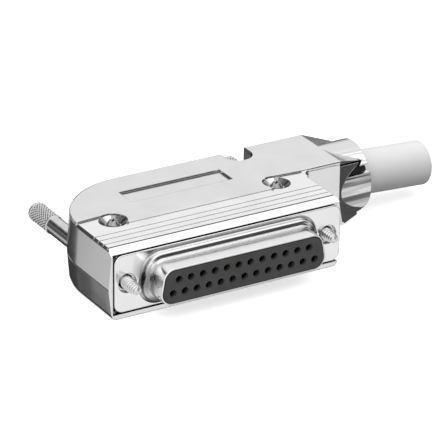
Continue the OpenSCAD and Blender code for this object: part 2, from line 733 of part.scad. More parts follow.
// One closed tube along a path, its rings square to the path
module tube(path, r, sides = 6) {
    n = len(path);
    function unit(v) = v / norm(v);
    function heading(i) = unit((i < n - 1 ? unit(path[i + 1] - path[i]) : [0, 0, 0])
                               + (i > 0 ? unit(path[i] - path[i - 1]) : [0, 0, 0]));
    function across(i) = unit(cross(heading(i), [0.01, -0.02, 1]));
    points = [for (i = [0:n - 1], k = [0:sides - 1]) path[i] + r * (cos(360 * k / sides) * across(i)
              + sin(360 * k / sides) * cross(across(i), heading(i)))];
    faces = concat([[for (k = [sides - 1:-1:0]) k]], [[for (k = [0:sides - 1]) (n - 1) * sides + k]],
        [for (i = [0:n - 2], k = [0:sides - 1]) [i * sides + k, i * sides + (k + 1) % sides,
             (i + 1) * sides + (k + 1) % sides, (i + 1) * sides + k]]);
    polyhedron(points, faces, convexity = 6);
}

// Each conductor runs back from its cup, over or under the right jackscrew in a lane of its
// own, and into the cable; the right-hand contacts take the front lanes
module conductors() {
    cup_end = rear_face + cup_length;
    height = shaft_r + loose + wire_r + 0.55;
    gather = block_right - cable_in + 0.6;
    color("gray") for (i = [0:ways - 1]) {
        up = contact_z(i) > 0 ? 1 : -1;
        k = (i < top_ways ? top_ways : ways) - 1 - i;
        x = contact_x(i);
        lane = hood_screw_y + post_r + wire_r + 0.55 + k * lane_pitch;
        y = neck_y + wire_spots[k][0];
        z = up * wire_spots[k][1];
        tube([[x, cup_end - 1.4, up * row_gap / 2], [x, cup_end + 0.6, up * row_gap / 2],
              [x, cup_end + 3.4, up * height], [x, lane - 0.5, up * height], [x + 0.5, lane, up * height],
              [screw_x + 0.5, lane, up * height], [gather, y, neck_rise + z],
              [neck_end + cable_out - 0.3, y, neck_rise + z]], wire_r);
    }
}

hood_upper();
hood_lower();
hood_screw(-1);  // hood_screw_left
hood_screw(1);  // hood_screw_right
front_shell();
rear_shell();
front_insulator();
rear_insulator();
jackscrew(-1);  // jackscrew_left
jackscrew(1);  // jackscrew_right
retaining_ring(-1);  // retaining_ring_left
retaining_ring(1);  // retaining_ring_right
cable_jacket();
cable_shield();
conductors();
crimp_ring();
cable_bushing();
for (i = [0:ways - 1])
    contact(i);
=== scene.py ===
import math
import bmesh
import bpy
from mathutils import Matrix, Vector


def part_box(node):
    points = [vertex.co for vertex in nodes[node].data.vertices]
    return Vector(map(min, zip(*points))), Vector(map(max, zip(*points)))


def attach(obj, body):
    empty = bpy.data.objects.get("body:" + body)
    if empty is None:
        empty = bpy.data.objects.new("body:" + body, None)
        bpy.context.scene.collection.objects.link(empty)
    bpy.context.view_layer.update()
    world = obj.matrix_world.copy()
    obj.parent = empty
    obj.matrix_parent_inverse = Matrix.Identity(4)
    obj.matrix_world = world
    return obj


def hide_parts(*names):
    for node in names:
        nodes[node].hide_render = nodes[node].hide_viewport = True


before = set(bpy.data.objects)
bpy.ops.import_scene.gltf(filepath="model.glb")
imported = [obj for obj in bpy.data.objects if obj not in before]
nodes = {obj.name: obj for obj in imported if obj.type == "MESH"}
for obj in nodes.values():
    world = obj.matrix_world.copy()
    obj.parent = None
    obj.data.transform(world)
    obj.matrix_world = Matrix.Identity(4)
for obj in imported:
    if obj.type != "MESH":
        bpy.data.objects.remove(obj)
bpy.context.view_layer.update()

# A 25-way cable connector in a cast metal hood, lying on a white sheet.
# Metres, +Z up, +X towards the cable, +Y into the hood.

mm = 0.001
contactCount = 25
hoodLow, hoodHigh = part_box("hood_lower")
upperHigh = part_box("hood_upper")[1]
floorHeight = hoodLow.z

shot = {
    "azimuth": 30.6,        # degrees round from straight in front, towards the plain end
    "elevation": 24.734,    # degrees above the table
    "roll": 0.65,
    "distance": 0.64657,
    "aimRight": -0.0023162, # where the middle of the picture falls, along the camera's own axes
    "aimUp": 0.0081977,
    "lens": 263.475,
    "sensor": 36.0,
    "nearest": 0.01, "farthest": 50,
}


def placeCamera():
    a, e, r = (math.radians(shot[k]) for k in ("azimuth", "elevation", "roll"))
    back = Vector((-math.sin(a) * math.cos(e), -math.cos(a) * math.cos(e), math.sin(e)))
    side = Vector((math.cos(a), -math.sin(a), 0))
    up = back.cross(side)
    camX = side * math.cos(r) + up * math.sin(r)
    camY = up * math.cos(r) - side * math.sin(r)
    data = bpy.data.cameras.new("tableCamera")
    data.lens, data.sensor_width = shot["lens"], shot["sensor"]
    data.clip_start, data.clip_end = shot["nearest"], shot["farthest"]
    cam = bpy.data.objects.new("tableCamera", data)
    bpy.context.collection.objects.link(cam)
    turn = Matrix((camX, camY, back)).transposed().to_4x4()
    spot = camX * shot["aimRight"] + camY * shot["aimUp"] + back * shot["distance"]
    cam.matrix_world = Matrix.Translation(spot) @ turn
    bpy.context.scene.camera = cam


placeCamera()
print("camera placed")

# The room is a white tent with grey cards hung in it, which the metal mirrors.
room = {
    "walls": 1.0,            # tone of the tent between the cards
    "strength": 0.93,
    "floorHalf": 6.0,        # half the width of the sheet under the part
    "floorTone": 0.9,
    "floorRough": 0.9, "floorGloss": 0.1,
    "floorGlow": 0.62,
    "shadeTone": 0.12,       # tone of the darker sheet that lights the part from below
    "shadeDrop": 0.002,
    "overheadAt": (0.05, -0.15, 1.3),
    "overheadPower": 4.0,
    "overheadSize": 1.6,
    "frontAt": (-0.5, -1.1, 0.5),
    "frontPower": 1.6,
    "frontSize": 0.9,
    "aim": (0.01, 0.015, 0),
}
# round: degrees from straight behind the part, positive towards the cable; up: degrees above the table
cards = [
    {"round": -37, "roundHalf": 10, "roundSoft": 10, "up": 0, "upHalf": 10, "upSoft": 8, "tone": 0.10},
    {"round": -44, "roundHalf": 20, "roundSoft": 8, "up": -20, "upHalf": 6, "upSoft": 6, "tone": 0.74},
    {"round": 14, "roundHalf": 37, "roundSoft": 8, "up": -36, "upHalf": 13, "upSoft": 12, "tone": 0.05},
    {"round": 98, "roundHalf": 18, "roundSoft": 18, "up": -26, "upHalf": 16, "upSoft": 14, "tone": 0.08},
    {"round": 150, "roundHalf": 34, "roundSoft": 30, "up": 24, "upHalf": 8, "upSoft": 10, "tone": 0.10},
    {"round": 148, "roundHalf": 18, "roundSoft": 14, "up": -4, "upHalf": 3, "upSoft": 6, "tone": 0.30},
    {"round": 138, "roundHalf": 24, "roundSoft": 14, "up": -46, "upHalf": 4, "upSoft": 7, "tone": 0.28},
    {"round": 40, "roundHalf": 50, "roundSoft": 20, "up": -2, "upHalf": 7, "upSoft": 7, "tone": 0.20},
    {"round": -32, "roundHalf": 12, "roundSoft": 14, "up": 27, "upHalf": 8, "upSoft": 10, "tone": 0.04},
]


def softbox(name, where, size, power):
    data = bpy.data.lights.new(name, "AREA")
    data.shape, data.size, data.energy = "SQUARE", size, power
    lamp = bpy.data.objects.new(name, data)
    bpy.context.collection.objects.link(lamp)
    lamp.location = where
    lamp.rotation_mode = "QUATERNION"
    lamp.rotation_quaternion = (Vector(room["aim"]) - Vector(where)).to_track_quat("-Z", "Y")


def mathNode(tree, operation, a, b=None):
    node = tree.nodes.new("ShaderNodeMath")
    node.operation = operation
    for socket, value in zip(node.inputs, (a, b)):
        if value is None:
            continue
        if isinstance(value, (int, float)):
            socket.default_value = value
        else:
            tree.links.new(value, socket)
    return node.outputs[0]


def fade(tree, value, full, soft):
    # 1 up to full degrees away, 0 beyond full + soft
    remap = tree.nodes.new("ShaderNodeMapRange")
    remap.interpolation_type = "SMOOTHSTEP"
    remap.inputs["From Min"].default_value = full + soft
    remap.inputs["From Max"].default_value = full
    tree.links.new(value, remap.inputs["Value"])
    return remap.outputs[0]


def buildRoom():
    world = bpy.data.worlds.new("whiteTent")
    bpy.context.scene.world = world
    world.use_nodes = True
    tree = world.node_tree
    sky = tree.nodes["Background"]
    sky.inputs["Strength"].default_value = room["strength"]
    place = tree.nodes.new("ShaderNodeTexCoord")
    height = tree.nodes.new("ShaderNodeSeparateXYZ")
    tree.links.new(place.outputs["Generated"], height.inputs[0])
    up = mathNode(tree, "DEGREES", mathNode(tree, "ARCSINE", height.outputs["Z"]))
    tone = None
    for card in cards:
        turn = tree.nodes.new("ShaderNodeVectorRotate")
        turn.rotation_type = "Z_AXIS"
        turn.inputs["Angle"].default_value = math.radians(card["round"])
        tree.links.new(place.outputs["Generated"], turn.inputs["Vector"])
        flat = tree.nodes.new("ShaderNodeSeparateXYZ")
        tree.links.new(turn.outputs[0], flat.inputs[0])
        aside = mathNode(tree, "DEGREES", mathNode(tree, "ARCTAN2", flat.outputs["X"], flat.outputs["Y"]))
        across = fade(tree, mathNode(tree, "ABSOLUTE", aside), card["roundHalf"], card["roundSoft"])
        above = fade(tree, mathNode(tree, "ABSOLUTE", mathNode(tree, "SUBTRACT", up, card["up"])),
                     card["upHalf"], card["upSoft"])
        mix = tree.nodes.new("ShaderNodeMix")
        mix.data_type = "FLOAT"
        mix.inputs["A"].default_value = room["walls"]
        if tone:
            tree.links.new(tone, mix.inputs["A"])
        mix.inputs["B"].default_value = card["tone"]
        tree.links.new(mathNode(tree, "MULTIPLY", across, above), mix.inputs["Factor"])
        tone = mix.outputs["Result"]
    tree.links.new(tone, sky.inputs["Color"])


def layFloor():
    mesh = bpy.data.meshes.new("tableSheet")
    r = room["floorHalf"]
    mesh.from_pydata([(-r, -r, floorHeight), (r, -r, floorHeight), (r, r, floorHeight), (-r, r, floorHeight)],
                     [], [(0, 1, 2, 3)])
    floor = bpy.data.objects.new("tableSheet", mesh)
    bpy.context.collection.objects.link(floor)
    paper = bpy.data.materials.new("whiteSheet")
    paper.use_nodes = True
    shader = paper.node_tree.nodes["Principled BSDF"]
    shader.inputs["Base Color"].default_value = (room["floorTone"],) * 3 + (1,)
    shader.inputs["Roughness"].default_value = room["floorRough"]
    shader.inputs["Specular IOR Level"].default_value = room["floorGloss"]
    shader.inputs["Emission Color"].default_value = (1, 1, 1, 1)
    shader.inputs["Emission Strength"].default_value = room["floorGlow"]
    mesh.materials.append(paper)
    floor.visible_glossy = False
    floor.visible_diffuse = False
    # light that bounces up to the part comes off a darker sheet, which the camera and the metal don't see
    shade = bpy.data.objects.new("shadeSheet", mesh.copy())
    shade.location.z = -room["shadeDrop"]
    bpy.context.collection.objects.link(shade)
    dim = paper.copy()
    shader = dim.node_tree.nodes["Principled BSDF"]
    shader.inputs["Base Color"].default_value = (room["shadeTone"],) * 3 + (1,)
    shader.inputs["Emission Strength"].default_value = 0
    shade.data.materials.clear()
    shade.data.materials.append(dim)
    shade.visible_camera = shade.visible_glossy = shade.visible_shadow = False


buildRoom()
layFloor()
softbox("overheadSoftbox", room["overheadAt"], room["overheadSize"], room["overheadPower"])
softbox("frontSoftbox", room["frontAt"], room["frontSize"], room["frontPower"])
view = bpy.context.scene.view_settings
view.view_transform = "Standard"
view.look = "None"
print("light and floor ready")


def startFinish(name, viewColour):
    mat = bpy.data.materials.new(name)
    mat.use_nodes = True
    mat.diffuse_color = (*viewColour, 1)
    tree = mat.node_tree
    return mat, tree, tree.nodes["Principled BSDF"]


def noiseAt(tree, scale, detail=3.0, stretch=None):
    place = tree.nodes.new("ShaderNodeTexCoord")
    noise = tree.nodes.new("ShaderNodeTexNoise")
    noise.inputs["Scale"].default_value = scale
    noise.inputs["Detail"].default_value = detail
    if stretch:
        squeeze = tree.nodes.new("ShaderNodeMapping")
        squeeze.inputs["Scale"].default_value = stretch
        tree.links.new(place.outputs["Object"], squeeze.inputs["Vector"])
        tree.links.new(squeeze.outputs[0], noise.inputs["Vector"])
    else:
        tree.links.new(place.outputs["Object"], noise.inputs["Vector"])
    return noise


def spread(tree, source, low, high, fromLow=0.3, fromHigh=0.7):
    remap = tree.nodes.new("ShaderNodeMapRange")
    remap.inputs["From Min"].default_value = fromLow
    remap.inputs["From Max"].default_value = fromHigh
    remap.inputs["To Min"].default_value = low
    remap.inputs["To Max"].default_value = high
    tree.links.new(source, remap.inputs["Value"])
    return remap.outputs[0]


def twoTone(tree, source, dark, light):
    mix = tree.nodes.new("ShaderNodeMix")
    mix.data_type = "RGBA"
    for socket, value in (("A", dark), ("B", light)):
        if isinstance(value, tuple):
            mix.inputs[socket].default_value = (*value, 1)
        else:
            tree.links.new(value, mix.inputs[socket])
    tree.links.new(source, mix.inputs["Factor"])
    return mix.outputs["Result"]


def grainBump(tree, shader, source, strength, depth, edge=0.0):
    bump = tree.nodes.new("ShaderNodeBump")
    bump.inputs["Strength"].default_value = strength
    bump.inputs["Distance"].default_value = depth
    tree.links.new(source, bump.inputs["Height"])
    if edge > 0:
        soft = tree.nodes.new("ShaderNodeBevel")    # rounds the light on sharp edges
        soft.samples = 6
        soft.inputs["Radius"].default_value = edge
        tree.links.new(soft.outputs[0], bump.inputs["Normal"])
    tree.links.new(bump.outputs[0], shader.inputs["Normal"])


def paintedShade(tree, reach, open_, shut):
    # painted shade from ambient occlusion: 0 deep in a groove or a corner, 1 on a free face
    shade = tree.nodes.new("ShaderNodeAmbientOcclusion")
    shade.samples = 8
    shade.inputs["Distance"].default_value = reach
    return spread(tree, shade.outputs["AO"], 0, 1, shut, open_)


def platedMetal(name, spec):
    mat, tree, shader = startFinish(name, spec["light"])
    shader.inputs["Metallic"].default_value = 1.0
    cloud = noiseAt(tree, spec["cloudScale"], 4.0, spec.get("stretch"))
    fine = noiseAt(tree, spec["grainScale"], 2.0, spec.get("stretch"))
    colour = twoTone(tree, spread(tree, cloud.outputs["Fac"], 0, 1), spec["dark"], spec["light"])
    if "paintedShadeReach" in spec:
        # painted shade darkens the grooves and corners
        colour = twoTone(tree, paintedShade(tree, spec["paintedShadeReach"], *spec["paintedShadeRange"]), spec["paintedShade"], colour)
    tree.links.new(colour, shader.inputs["Base Color"])
    tree.links.new(spread(tree, cloud.outputs["Fac"], *spec["rough"]), shader.inputs["Roughness"])
    grainBump(tree, shader, fine.outputs["Fac"], spec["grain"], spec["grainDepth"], spec["edge"])
    return mat


def mouldedPlastic(name, spec):
    mat, tree, shader = startFinish(name, spec["light"])
    cloud = noiseAt(tree, spec["cloudScale"], 4.0)
    fine = noiseAt(tree, spec["grainScale"], 3.0)
    colour = twoTone(tree, spread(tree, cloud.outputs["Fac"], 0, 1), spec["dark"], spec["light"])
    if "paintedShadeReach" in spec:
        # painted shade darkens the grooves and corners
        colour = twoTone(tree, paintedShade(tree, spec["paintedShadeReach"], *spec["paintedShadeRange"]), spec["paintedShade"], colour)
    tree.links.new(colour, shader.inputs["Base Color"])
    tree.links.new(spread(tree, fine.outputs["Fac"], *spec["rough"]), shader.inputs["Roughness"])
    shader.inputs["Specular IOR Level"].default_value = spec.get("gloss", 0.5)
    grainBump(tree, shader, fine.outputs["Fac"], spec["grain"], spec["grainDepth"], spec["edge"])
    return mat


# paintedShadeRange: openness of a face that gets no painted shade, and the one that gets the full painted shade
# of a seam; paintedShade is that shade's colour
hoodFinish = {
    "dark": (0.74, 0.74, 0.74), "light": (0.80, 0.80, 0.80),
    "rough": (0.13, 0.20), "cloudScale": 140, "grainScale": 2600,
    "grain": 0.10, "grainDepth": 0.00003, "edge": 0.00016,
    "paintedShade": (0.02, 0.02, 0.02), "paintedShadeReach": 0.0007, "paintedShadeRange": (0.74, 0.2),
}
neckFinish = dict(hoodFinish, grain=1.0, grainDepth=0.00022, grainScale=700, stretch=(0.06, 1.0, 1.0))
# the neck's streaked grain, with dark and light streaks along the neck painted into the colour as painted
# reflection
reflectionStreakFinish = dict(neckFinish, dark=(0.34, 0.34, 0.34), light=(0.80, 0.80, 0.80), cloudScale=900)
shellFinish = {
    "dark": (0.84, 0.84, 0.84), "light": (0.90, 0.90, 0.90),
    "rough": (0.10, 0.18), "cloudScale": 220, "grainScale": 1800,
    "grain": 0.06, "grainDepth": 0.00002, "edge": 0.00018,
    "paintedShade": (0.03, 0.03, 0.03), "paintedShadeReach": 0.0006, "paintedShadeRange": (0.7, 0.3),
}
# a long reach paints shade deep into the fillet at the skirt's root
shoulderFinish = dict(shellFinish, paintedShadeReach=0.0044, paintedShadeRange=(0.98, 0.66))
screwFinish = {
    "dark": (0.72, 0.72, 0.72), "light": (0.84, 0.84, 0.84),
    "rough": (0.14, 0.22), "cloudScale": 500, "grainScale": 3000,
    "grain": 0.08, "grainDepth": 0.00002, "edge": 0.0001,
    "paintedShade": (0.02, 0.02, 0.02), "paintedShadeReach": 0.0006, "paintedShadeRange": (0.85, 0.4),
}
turnedFinish = dict(screwFinish, dark=(0.62, 0.62, 0.62), light=(0.74, 0.74, 0.74), stretch=(0.15, 6.0, 0.15),
                    paintedShadeReach=0.0004)
insulatorFinish = {
    "dark": (0.086, 0.086, 0.088), "light": (0.112, 0.112, 0.114),
    "rough": (0.42, 0.55), "cloudScale": 300, "grainScale": 2400,
    "grain": 0.12, "grainDepth": 0.00002, "edge": 0.0001, "gloss": 0.25,
    "paintedShade": (0.002, 0.002, 0.002), "paintedShadeReach": 0.0006, "paintedShadeRange": (0.8, 0.4),
}
contactFinish = {
    "dark": (0.42, 0.33, 0.17), "light": (0.66, 0.52, 0.27),
    "rough": (0.2, 0.32), "cloudScale": 900, "grainScale": 4000,
    "grain": 0.05, "grainDepth": 0.00001, "edge": 0.00005,
    "paintedShade": (0.01, 0.008, 0.004), "paintedShadeReach": 0.0012, "paintedShadeRange": (0.9, 0.35),
}
crimpFinish = {
    "dark": (0.55, 0.54, 0.50), "light": (0.70, 0.69, 0.66),
    "rough": (0.30, 0.42), "cloudScale": 400, "grainScale": 2500,
    "grain": 0.1, "grainDepth": 0.00002, "edge": 0.0001,
}
rubberFinish = {
    "dark": (0.010, 0.010, 0.010), "light": (0.022, 0.022, 0.022),
    "rough": (0.55, 0.75), "cloudScale": 400, "grainScale": 2400,
    "grain": 0.3, "grainDepth": 0.00004, "edge": 0.0, "gloss": 0.3,
}
jacketFinish = {
    "dark": (0.84, 0.84, 0.84), "light": (0.90, 0.90, 0.90),
    "rough": (0.42, 0.55), "cloudScale": 120, "grainScale": 1600,
    "grain": 0.18, "grainDepth": 0.00004, "edge": 0.0, "gloss": 0.35,
}

castNickel = platedMetal("castNickel", hoodFinish)
# a brighter copy of the hood's metal: painted highlight on the ribbed band
ribHighlightNickel = platedMetal("ribHighlightNickel", dict(hoodFinish, dark=(0.86, 0.86, 0.86), light=(0.94, 0.94, 0.94)))
# dark copies of the hood's metal, for painted shade
castDeepShade = platedMetal("castDeepShade", dict(hoodFinish, dark=(0.10, 0.10, 0.10), light=(0.16, 0.16, 0.16)))
castShade = platedMetal("castShade", dict(hoodFinish, dark=(0.30, 0.30, 0.30), light=(0.38, 0.38, 0.38)))
neckNickel = platedMetal("neckNickel", neckFinish)
reflectionStreakNickel = platedMetal("reflectionStreakNickel", reflectionStreakFinish)
drawnNickel = platedMetal("drawnNickel", shellFinish)
shoulderNickel = platedMetal("shoulderNickel", shoulderFinish)
screwNickel = platedMetal("screwNickel", screwFinish)
# a darker copy of the screws' metal: painted shade on the hood screws down in their dishes
shadedScrewNickel = platedMetal("shadedScrewNickel", dict(screwFinish, dark=(0.36, 0.36, 0.36), light=(0.46, 0.46, 0.46)))
turnedNickel = platedMetal("turnedNickel", turnedFinish)
goldContact = platedMetal("goldContact", contactFinish)
crimpBrass = platedMetal("crimpBrass", crimpFinish)
blackInsulator = mouldedPlastic("blackInsulator", insulatorFinish)
blackRubber = mouldedPlastic("blackRubber", rubberFinish)
greyJacket = mouldedPlastic("greyJacket", jacketFinish)


def dress(node, mat):
    mesh = nodes[node].data
    mesh.materials.clear()
    mesh.materials.append(mat)


for name in ("hood_upper", "hood_lower"):
    dress(name, castNickel)
for name in ("hood_screw_left", "hood_screw_right", "retaining_ring_left", "retaining_ring_right"):
    dress(name, screwNickel)
for name in ("front_shell", "rear_shell"):
    dress(name, drawnNickel)
for name in ("front_insulator", "rear_insulator"):
    dress(name, blackInsulator)
for i in range(contactCount):
    dress("contact_%02d" % (i + 1), goldContact)
dress("crimp_ring", crimpBrass)
dress("cable_bushing", blackRubber)
print("finishes on the carried-over pieces")


def putMesh(name, verts, faces, mats, body, replaced, smoothAngle, matOf=None):
    mesh = bpy.data.meshes.new(name)
    mesh.from_pydata(verts, [], faces)
    if matOf:
        mesh.polygons.foreach_set("material_index", matOf)
    mesh.validate()
    piece = bpy.data.objects.new(name, mesh)
    bpy.context.collection.objects.link(piece)
    tidy = bmesh.new()
    tidy.from_mesh(mesh)
    bmesh.ops.recalc_face_normals(tidy, faces=tidy.faces)
    limit = math.radians(smoothAngle)
    for f in tidy.faces:
        f.smooth = True
    for e in tidy.edges:
        e.smooth = not (len(e.link_faces) == 2 and e.calc_face_angle() > limit)
    tidy.to_mesh(mesh)
    tidy.free()
    for mat in mats:
        mesh.materials.append(mat)
    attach(piece, body)
    if replaced:
        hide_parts(*replaced)


def ringFaces(rings, around, closedEnds=True, first=0):
    faces = []
    for i in range(rings - 1):
        for j in range(around):
            k = (j + 1) % around
            a, b = first + i * around, first + (i + 1) * around
            faces.append((a + j, a + k, b + k, b + j))
    if closedEnds:
        faces.append(tuple(first + j for j in range(around - 1, -1, -1)))
        faces.append(tuple(first + (rings - 1) * around + j for j in range(around)))
    return faces


def closeLoop(rings, around):
    # from the last ring back to the first, for a wall that has an inside
    last = (rings - 1) * around
    return [(last + j, last + (j + 1) % around, (j + 1) % around, j) for j in range(around)]


# millimetres here and for the pieces below, where a line doesn't say otherwise
hood = {
    "flangeGap": 0.28,       # shadow gap round the connector's flange
    "flangeSide": 0.05,      # how much wider the gap is at the flange's ends
    "flangeDepth": 1.3,
    "bandTop": 7.6,
    "bandInset": 0.46,       # from the hood's plain end to the end of the ribbed band
    "bandDepth": 15.3,
    "endBevel": 0.5,         # bevel along both ends of the ribbed band
    "plainDrop": 1.15,       # how much deeper than wide the bevel is at the plain end
    "cableDrop": 1.1,        # and at the cable's end
    "cableBevelTo": 12.8,    # how far back that bevel runs
    "cornerRun": 0.8, "cornerBack": 0.75,    # what is cut off the front corner beyond the band's plain end
    "grooves": (2.1, 3.95, 5.9, 7.85),
    "grooveFlare": 0.5, "flareHalf": 0.2, "flareOver": 0.05,
    "flareLength": 0.45,     # along each groove, from the plain end's bevel
    "stepAt": 10.2, "stepRun": 1.2, "stepSpan": (-17.4, 16.4),    # the eased step behind the band
    "browTop": 2.0,          # the groove behind the sloping brow
    "browGroove": 0.3, "browDepth": 0.34, "browSpan": (-29, 28),
    "neckRadius": 7.75,
    "neckY": 23.4,
    "neckZ": 0.2,
    "neckLength": 8.3,
    "facetSlope": 0.305,     # how steeply the flats beside the neck's crown run down
    "pocketRadius": 3.0,
    "pocketX": 19.3,
    "pocketY": 12.5,
    "pocketAbove": 6,        # a pocket's own points lie above this, and this close to its radius
    "pocketWithin": 0.05,
    "pocketShift": (-0.47, 0.42),
    "notchX": 19.0, "notchY": 28.85, "notchWide": 6.2,
    "ribsAbove": 7.2, "ribsTo": 15, "ribsShort": 9,    # where faces of the band get a brighter colour, a painted highlight
    "neckOutward": 7,        # a face has the neck's finish if its plane is this far from the neck's axis
    "smoothAngle": 12,
}
blockRight = hoodHigh.x / mm - hood["neckLength"]
past = 1            # about how far a cutter runs past what it cuts
graze = 0.02        # keeps a cutter's faces out of the planes of the hood's own
above = 9           # higher than any part of the hood
mergeWithin = 1e-4
flatWithin = 0.4    # degrees between faces that count as one flat face


def scratch(name, verts, faces):
    mesh = bpy.data.meshes.new(name)
    mesh.from_pydata(verts, [], faces)
    work = bmesh.new()
    work.from_mesh(mesh)
    bmesh.ops.recalc_face_normals(work, faces=work.faces)
    work.to_mesh(mesh)
    work.free()
    piece = bpy.data.objects.new(name, mesh)
    bpy.context.collection.objects.link(piece)
    return piece


def prism(axis, outline, a, b):
    # the outline's points are the two other coordinates, in their order
    along = "XYZ".index(axis)
    verts = [(*p[:along], t, *p[along:]) for t in (a, b) for p in outline]
    return scratch("cutter", verts, ringFaces(2, len(outline)))


def rodAlongX(radius, y, z, a, b, around=96):
    turns = [2 * math.pi * i / around for i in range(around)]
    return prism("X", [(y + radius * math.cos(t), z + radius * math.sin(t)) for t in turns], a, b)


def carve(piece, cutter):
    step = piece.modifiers.new("carve", "BOOLEAN")
    step.operation, step.object, step.solver = "DIFFERENCE", cutter, "EXACT"
    made = bpy.data.meshes.new_from_object(piece.evaluated_get(bpy.context.evaluated_depsgraph_get()))
    piece.modifiers.clear()
    old = piece.data
    piece.data = made
    bpy.data.meshes.remove(old)
    old = cutter.data
    bpy.data.objects.remove(cutter)
    bpy.data.meshes.remove(old)


def copyInMm(name, node):
    work = bmesh.new()
    work.from_mesh(nodes[node].data)
    bmesh.ops.scale(work, vec=(1 / mm,) * 3, verts=work.verts)
    bmesh.ops.remove_doubles(work, verts=work.verts, dist=mergeWithin)
    bmesh.ops.dissolve_limit(work, angle_limit=math.radians(flatWithin), verts=work.verts, edges=work.edges)
    mesh = bpy.data.meshes.new(name)
    work.to_mesh(mesh)
    work.free()
    piece = bpy.data.objects.new(name, mesh)
    bpy.context.collection.objects.link(piece)
    return piece


def movePockets(piece):
    h = hood
    for side in (-1, 1):
        for v in piece.data.vertices:
            away = math.hypot(v.co.x - side * h["pocketX"], v.co.y - h["pocketY"])
            if v.co.z > h["pocketAbove"] and abs(away - h["pocketRadius"]) < h["pocketWithin"]:
                v.co.x += h["pocketShift"][0]
                v.co.y += h["pocketShift"][1]


def flangeCutter():
    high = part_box("front_shell")[1]
    g = hood["flangeGap"]
    x, z = high.x / mm + g + hood["flangeSide"], high.z / mm + g
    return prism("Y", [(-x, -z), (x, -z), (x, z), (-x, z)], -past, hood["flangeDepth"])


def facetCutter():
    h = hood
    top, start = upperHigh.z / mm, blockRight + graze
    end = blockRight + h["neckLength"] + past / 2
    fall = h["facetSlope"] * (end - blockRight)
    wedge = prism("Y", [(start, top), (end, top - fall), (end, top + past), (start, top + past)],
                  h["bandDepth"] - past / 2, hoodHigh.y / mm + past / 2)
    crown = rodAlongX(h["neckRadius"] + graze / 2, h["neckY"], h["neckZ"], blockRight - past, end + past)
    carve(wedge, crown)
    return wedge


def endBevels(piece):
    h = hood
    b, top = h["endBevel"], h["bandTop"]
    left, right = hoodLow.x / mm + h["bandInset"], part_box("front_shell")[1].x / mm
    crest, over = top + graze / 2, top + 2 * past
    foot, out = top - b * h["plainDrop"], left - 2 * past
    carve(piece, prism("Y", [(out, foot), (left, foot), (left + b, crest), (left + b, over), (out, over)],
                       -past, h["bandDepth"]))
    foot, out = top - b * h["cableDrop"], right + 2 * past
    carve(piece, prism("Y", [(out, foot), (right + graze, foot), (right - b, crest), (right - b, over),
                             (out, over)], -past, h["cableBevelTo"]))
    mouth, flare = top + h["flareOver"], h["flareHalf"]
    for y in h["grooves"]:
        carve(piece, prism("X", [(y - flare, mouth), (y, top - h["grooveFlare"]), (y + flare, mouth)],
                           left - past, left + b + h["flareLength"]))
    out, edge, back = left - 3 * past, left - graze, h["cornerBack"]
    carve(piece, prism("Z", [(out, -past), (edge, -past), (edge, 0.0), (left - h["cornerRun"], back),
                             (out, back)], -above, above))


hoodMats = [castNickel, ribHighlightNickel, castDeepShade, neckNickel, reflectionStreakNickel]


def hoodPart(name, p, n):
    # which of the hood's materials a face gets, from its middle and its direction: painted shade in the notch,
    # a painted highlight on the ribbed band, painted reflection streaks on the lower neck
    h = hood
    x, y, reach = p.x - h["notchX"], p.y - h["notchY"], h["notchWide"] / 2 + 0.1
    # the notch's walls get painted shade
    if abs(x) < reach and y > -reach and abs(n.z) < 0.3 and n.x * x + n.y * y < 0:
        return castDeepShade
    if n.z > 0.9 and h["ribsAbove"] < p.z < h["bandTop"] + 0.05 and p.y < h["ribsTo"] \
            and p.x < blockRight - h["ribsShort"]:
        return ribHighlightNickel
    y, z = p.y - h["neckY"], p.z - h["neckZ"]
    # the lower half's neck gets painted reflection streaks
    if p.x > blockRight + 0.1 and math.hypot(y, z) > h["neckRadius"] - 0.4 and abs(n.x) < 0.2 \
            and n.y * y + n.z * z > h["neckOutward"]:
        return reflectionStreakNickel if name == "hood_lower" else neckNickel
    return castNickel


def finishHalf(piece, node):
    mesh = piece.data
    mesh.materials.clear()
    for mat in hoodMats:
        mesh.materials.append(mat)
    work = bmesh.new()
    work.from_mesh(mesh)
    bmesh.ops.dissolve_degenerate(work, dist=mergeWithin, edges=work.edges)
    for f in work.faces:
        f.material_index = hoodMats.index(hoodPart(node, f.calc_center_median(), f.normal))
        f.smooth = True
    limit = math.radians(hood["smoothAngle"])
    for e in work.edges:
        e.smooth = not (len(e.link_faces) == 2 and e.calc_face_angle(0) > limit)
    bmesh.ops.scale(work, vec=(mm,) * 3, verts=work.verts)
    work.to_mesh(mesh)
    work.free()
    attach(piece, "housing")
    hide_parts(node)


def buildHood():
    h = hood
    upper = copyInMm("hoodUpper", "hood_upper")
    movePockets(upper)
    carve(upper, flangeCutter())
    endBevels(upper)
    near, far, bed = h["browTop"], h["browTop"] + h["browGroove"], h["bandTop"] - h["browDepth"]
    carve(upper, prism("X", [(near, bed), (far, bed), (far, above), (near, above)], *h["browSpan"]))
    carve(upper, facetCutter())
    near, far, top = h["stepAt"] - graze, h["stepAt"] + h["stepRun"], upperHigh.z / mm + graze / 10
    carve(upper, prism("X", [(near, h["bandTop"]), (far, top), (far, above), (near, above)], *h["stepSpan"]))
    finishHalf(upper, "hood_upper")
    lower = copyInMm("hoodLower", "hood_lower")
    carve(lower, flangeCutter())
    endBevels(lower)
    finishHalf(lower, "hood_lower")


buildHood()
print("hood halves bevelled")

pocket = {
    "screwScale": 0.6,
    "wallTop": 2.96, "wallTopAt": 7.56,      # radius and height of the dish that each screw sits in
    "wallFoot": 1.65, "wallFootAt": 6.55,
    "footEase": (0.1, 0.07),                 # the round between its wall and its floor
    "floorHole": 1.2,
    "under": 6.46,
    # painted shade on the dish's wall, from its direction
    "shadeFrom": 0.38, "deepShadeFrom": 0.66,   # where its wall turns darker towards its left and right sides
    "around": 72,
}


